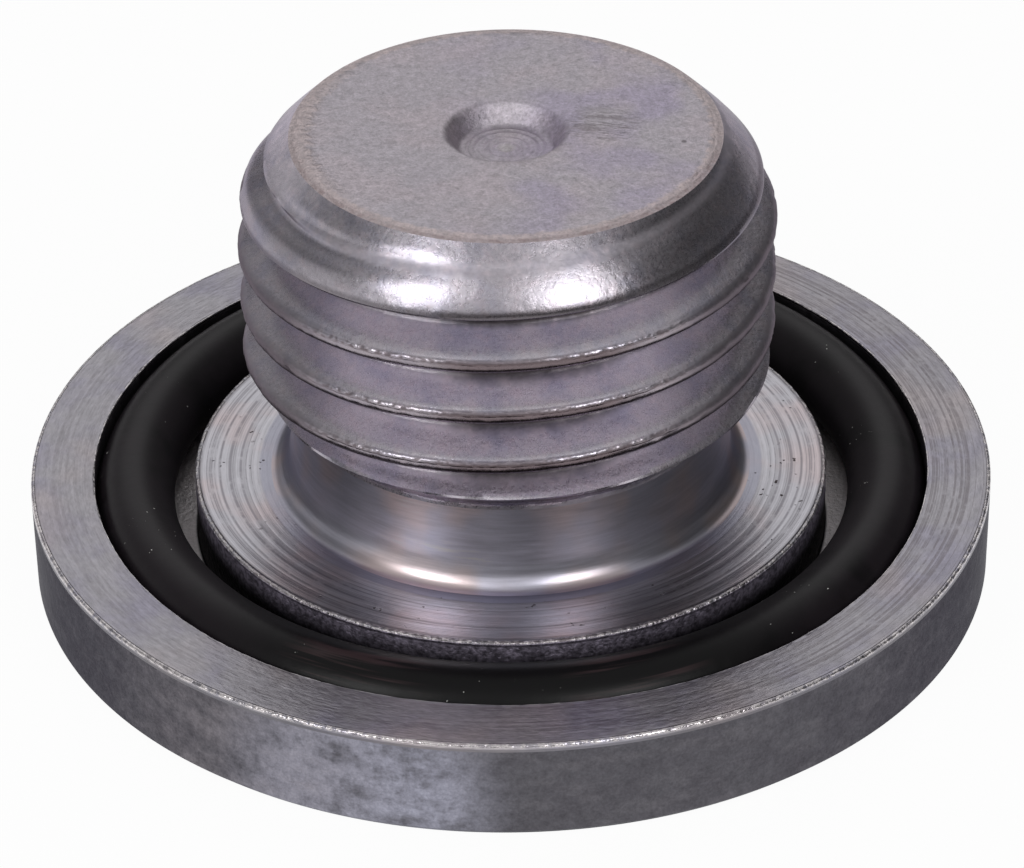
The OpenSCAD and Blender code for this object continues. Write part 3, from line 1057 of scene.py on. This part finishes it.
def socket_rules(size, plan):
    """Rings of the underside, the hexagon socket and the drilled hole."""
    flat = size.socket_flats / 2
    mouth = flat / math.cos(math.pi / 6) + size.socket_bevel
    pilot = flat - size.pilot_under / 2
    pilot_top = plan.pilot
    foot = HEAD_RADIUS - size.lower_bevel

    def hexagon(angle):
        return flat / math.cos(angle % (math.pi / 3) - math.pi / 6)

    level_rules = [
        lambda angle: (foot, 0),
        lambda angle: (foot - 0.15 * MM, 0),
        lambda angle: (mouth + 0.15 * MM, 0),
        lambda angle: (mouth, 0),
        lambda angle: (hexagon(angle), mouth - hexagon(angle)),
        lambda angle: (hexagon(angle), mouth - hexagon(angle) + 0.1 * MM),
        lambda angle: (hexagon(angle), size.socket_depth - 0.1 * MM),
        lambda angle: (hexagon(angle), size.socket_depth),
        lambda angle: (pilot, size.socket_depth),
        lambda angle: (pilot, size.socket_depth + 0.05 * MM),
        lambda angle: (pilot, pilot_top - 0.05 * MM),
        lambda angle: (pilot, pilot_top),
        lambda angle: (pilot * 0.5, pilot_top + pilot * 0.5 / math.tan(size.drill_point / 2)),
    ]
    return level_rules, pilot_top + pilot / math.tan(size.drill_point / 2)


def settle(obj, node):
    """Hands a finished piece to the frame: parents it to the root body and hides the node it
    stands for.
    """
    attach(obj, "root")
    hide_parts(node)


def closed_mesh(bm, name):
    """Welds a mesh, turns its faces outwards and checks that it is closed."""
    bmesh.ops.remove_doubles(bm, verts=bm.verts, dist=WELD)
    bmesh.ops.dissolve_degenerate(bm, edges=bm.edges, dist=WELD / 10)
    bmesh.ops.triangulate(bm, faces=[f for f in bm.faces if len(f.verts) > 4])
    bmesh.ops.recalc_face_normals(bm, faces=bm.faces)
    open_edges = [edge for edge in bm.edges if len(edge.link_faces) != 2]
    if open_edges:
        raise RuntimeError(f"{name}: {len(open_edges)} edges aren't closed")
    mesh = bpy.data.meshes.new(name)
    bm.to_mesh(mesh)
    bm.free()
    mesh.shade_smooth()
    mesh.set_sharp_from_angle(angle=SHARP_BEND)
    return mesh


class DRAINPLUG_OT_steel_plug(bpy.types.Operator):
    """Builds the threaded steel plug"""

    bl_idname = "drainplug.steel_plug"
    bl_label = "Steel plug"

    def execute(self, context):
        size = context.scene.plug_sizes
        look = context.scene.plug_finish
        plan = Plan(size)
        thread = thread_finish(look, size, plan)
        shank = shank_values(size, plan, look, thread)
        ribbon = grown("shank", shank_tree(), shank)
        bm = bmesh.new()
        bm.from_mesh(ribbon)
        bpy.data.meshes.remove(ribbon)
        for face in bm.faces:
            face.material_index = THREAD
        face_rules, face_pole = end_rules(size, plan, look, shank)
        skin(bm, face_rules, END_FACE, pole_first=face_pole)
        skin(bm, neck_rules(size, plan, shank), NECK)
        skin(bm, boss_rules(plan, look), BOSS)
        skin(bm, land_rules(size, plan, look), LAND)
        skin(bm, rim_rules(size), RIM)
        below_rules, drill_tip = socket_rules(size, plan)
        skin(bm, below_rules, SOCKET, pole_last=drill_tip)
        mesh = closed_mesh(bm, "plug_steel")
        for material in (thread, face_finish(look, size, plan), neck_finish(look, plan),
                         boss_finish(look, plan), land_finish(look, plan),
                         rim_finish(look), socket_finish(look, plan)):
            mesh.materials.append(material)
        obj = bpy.data.objects.new("plug_steel", mesh)
        context.scene.collection.objects.link(obj)
        settle(obj, "plug")
        return {"FINISHED"}


def ring_tree():
    """The sealing ring: a round section swept along a circle."""
    g, size = new_tree("sealing_ring", ("Ring Radius", "Section Radius", "Height"),
                       ("Steps Round", "Steps Across"))
    path = g.node("GeometryNodeCurvePrimitiveCircle", {"mode": "RADIUS"}, {
        "Resolution": size["Steps Round"], "Radius": size["Ring Radius"]})
    section = g.node("GeometryNodeCurvePrimitiveCircle", {"mode": "RADIUS"}, {
        "Resolution": size["Steps Across"], "Radius": size["Section Radius"]})
    swept = g.node("GeometryNodeCurveToMesh", None, {"Curve": path, "Profile Curve": section})
    placed = g.node("GeometryNodeTransform", None, {
        "Geometry": swept, "Translation": g.vector(0.0, 0.0, size["Height"])})
    close_tree(g, placed, size["Material"])
    return g


class DRAINPLUG_OT_sealing_ring(bpy.types.Operator):
    """Builds the rubber sealing ring"""

    bl_idname = "drainplug.sealing_ring"
    bl_label = "Sealing ring"

    def execute(self, context):
        look = context.scene.ring_finish
        ring = grown("ring", ring_tree(), {
            "Ring Radius": RING_RADIUS,
            "Section Radius": RING_SECTION,
            "Height": RING_LOW.z + RING_SECTION,
            "Steps Round": 256,
            "Steps Across": 48,
            "Material": rubber_finish(look),
        })
        rubber = ring.materials[0]
        bm = bmesh.new()
        bm.from_mesh(ring)
        bpy.data.meshes.remove(ring)
        mesh = closed_mesh(bm, "sealing_ring_rubber")
        mesh.materials.append(rubber)
        obj = bpy.data.objects.new("sealing_ring_rubber", mesh)
        context.scene.collection.objects.link(obj)
        settle(obj, "sealing_ring")
        return {"FINISHED"}


# The studio


def lamp(context, name, side, stage):
    """A soft box, turned towards the middle of the plug."""
    rise = stage.box_rise
    outward = Vector((math.sin(side) * math.cos(rise), -math.cos(side) * math.cos(rise),
                      math.sin(rise)))
    data = bpy.data.lights.new(name, "AREA")
    data.shape = "RECTANGLE"
    data.size = stage.box_width
    data.size_y = stage.box_height
    data.energy = stage.box_light * math.pi * stage.box_width * stage.box_height
    obj = bpy.data.objects.new(name, data)
    obj.location = outward * stage.box_distance
    obj.rotation_euler = outward.to_track_quat("Z", "Y").to_euler()
    obj.visible_camera = False
    context.scene.collection.objects.link(obj)


def room(context, stage):
    """The room's light: pale behind the object, dimmer in front, low down and above."""
    world = bpy.data.worlds.new("room")
    context.scene.world = world
    world.use_nodes = True
    g = Graph(world.node_tree)
    way = g.node("ShaderNodeTexCoord", output="Generated")
    across = g.node("ShaderNodeSeparateXYZ", None, {0: way})
    rise = across.sibling("Z")
    back = g.step(across.sibling("Y"), -0.5, 0.55)
    wall = stage.front_light + back * (stage.back_light - stage.front_light)
    left = g.step(across * -1, 0.2, 0.7) * stage.left_dim
    right = g.step(across, 0.2, 0.65) * stage.right_dim
    wall = wall * (1 - left - right)
    clear = g.step(rise, 0.22, 0.5)
    low = stage.low_light + g.step(across * -1, 0.3, 0.8) * stage.left_low_light
    wall = low + clear * (wall - low)
    bright = wall + g.step(rise, 0.6, 0.95) * (stage.top_light - wall)
    g.feed(world.node_tree.nodes["Background"].inputs["Strength"], bright)
    world.node_tree.nodes["Background"].inputs["Color"].default_value = (1, 1, 1, 1)


def floor(context, stage):
    """A pale round floor that fades to white, and keeps the plug's shadow."""
    bm = bmesh.new()
    bmesh.ops.create_circle(bm, cap_ends=True, segments=96, radius=stage.floor_radius)
    mesh = bpy.data.meshes.new("floor")
    bm.to_mesh(mesh)
    bm.free()
    material = bpy.data.materials.new("floor")
    material.use_nodes = True
    g = Graph(material.node_tree)
    shader = material.node_tree.nodes["Principled BSDF"]
    shader.inputs["Base Color"].default_value = paint(stage.floor_colour)
    shader.inputs["Roughness"].default_value = 0.9
    shader.inputs["Specular IOR Level"].default_value = 0.1
    white = g.node("ShaderNodeEmission", None, {"Color": (1, 1, 1, 1), "Strength": 1.0})
    path = g.node("ShaderNodeLightPath")
    seen = path.sibling("Is Camera Ray") + path.sibling("Is Glossy Ray")
    seen = g.maths("MINIMUM", seen + path.sibling("Is Transmission Ray"), 1.0)
    mixed = g.node("ShaderNodeMixShader", None, {
        0: seen * stage.floor_white, 1: Wire(g, shader.outputs[0]), 2: white})
    output = material.node_tree.nodes["Material Output"]
    g.feed(output.inputs["Surface"], mixed)
    mesh.materials.append(material)
    obj = bpy.data.objects.new("floor", mesh)
    context.scene.collection.objects.link(obj)


def camera(context, stage, target):
    """The camera, at the picture's angle and framing."""
    rise = stage.elevation
    back = Vector((0, -math.cos(rise), math.sin(rise)))
    data = bpy.data.cameras.new("camera")
    data.sensor_width = 36
    data.lens = stage.focal_pixels * data.sensor_width / PICTURE_WIDTH
    data.shift_x = (PICTURE_WIDTH / 2 - stage.aim_x) / PICTURE_WIDTH
    data.shift_y = (stage.aim_y - PICTURE_HEIGHT / 2) / PICTURE_WIDTH
    data.clip_start = 0.005
    data.clip_end = 10
    obj = bpy.data.objects.new("camera", data)
    turn = back.to_track_quat("Z", "Y").to_matrix() @ Matrix.Rotation(-stage.roll, 3, "Z")
    obj.matrix_world = Matrix.Translation(target + back * stage.distance) @ turn.to_4x4()
    context.scene.collection.objects.link(obj)
    context.scene.camera = obj


class DRAINPLUG_OT_studio(bpy.types.Operator):
    """Sets up the floor, the light and the camera"""

    bl_idname = "drainplug.studio"
    bl_label = "Studio"

    def execute(self, context):
        stage = context.scene.studio_settings
        context.scene.view_settings.view_transform = "Standard"
        room(context, stage)
        floor(context, stage)
        lamp(context, "soft_box_left", -stage.box_left, stage)
        lamp(context, "soft_box_right", stage.box_right, stage)
        camera(context, stage, Vector((0, 0, context.scene.plug_sizes.head_height)))
        return {"FINISHED"}


class DRAINPLUG_PT_panel(bpy.types.Panel):
    """Lists the steps that build the plug"""

    bl_idname = "DRAINPLUG_PT_panel"
    bl_label = "Drain Plug"
    bl_space_type = "VIEW_3D"
    bl_region_type = "UI"
    bl_category = "Drain Plug"

    def draw(self, context):
        for step in STEPS:
            self.layout.operator(step.bl_idname)
        for name in SETTINGS:
            group = getattr(context.scene, name)
            box = self.layout.box()
            for key in group.bl_rna.properties.keys():
                if key not in ("rna_type", "name"):
                    box.prop(group, key)


STEPS = (DRAINPLUG_OT_steel_plug, DRAINPLUG_OT_sealing_ring, DRAINPLUG_OT_studio)
SETTINGS = {
    "plug_sizes": PlugSizes,
    "plug_finish": PlugFinish,
    "ring_finish": RingFinish,
    "studio_settings": StudioSettings,
}
CLASSES = (*SETTINGS.values(), *STEPS, DRAINPLUG_PT_panel)


def register():
    for item in CLASSES:
        bpy.utils.register_class(item)
    for name, group in SETTINGS.items():
        setattr(bpy.types.Scene, name, bpy.props.PointerProperty(type=group))


def unregister():
    for name in SETTINGS:
        delattr(bpy.types.Scene, name)
    for item in reversed(CLASSES):
        bpy.utils.unregister_class(item)


def main():
    register()
    bpy.ops.drainplug.steel_plug()
    bpy.ops.drainplug.sealing_ring()
    bpy.ops.drainplug.studio()


if __name__ == "__main__":
    main()
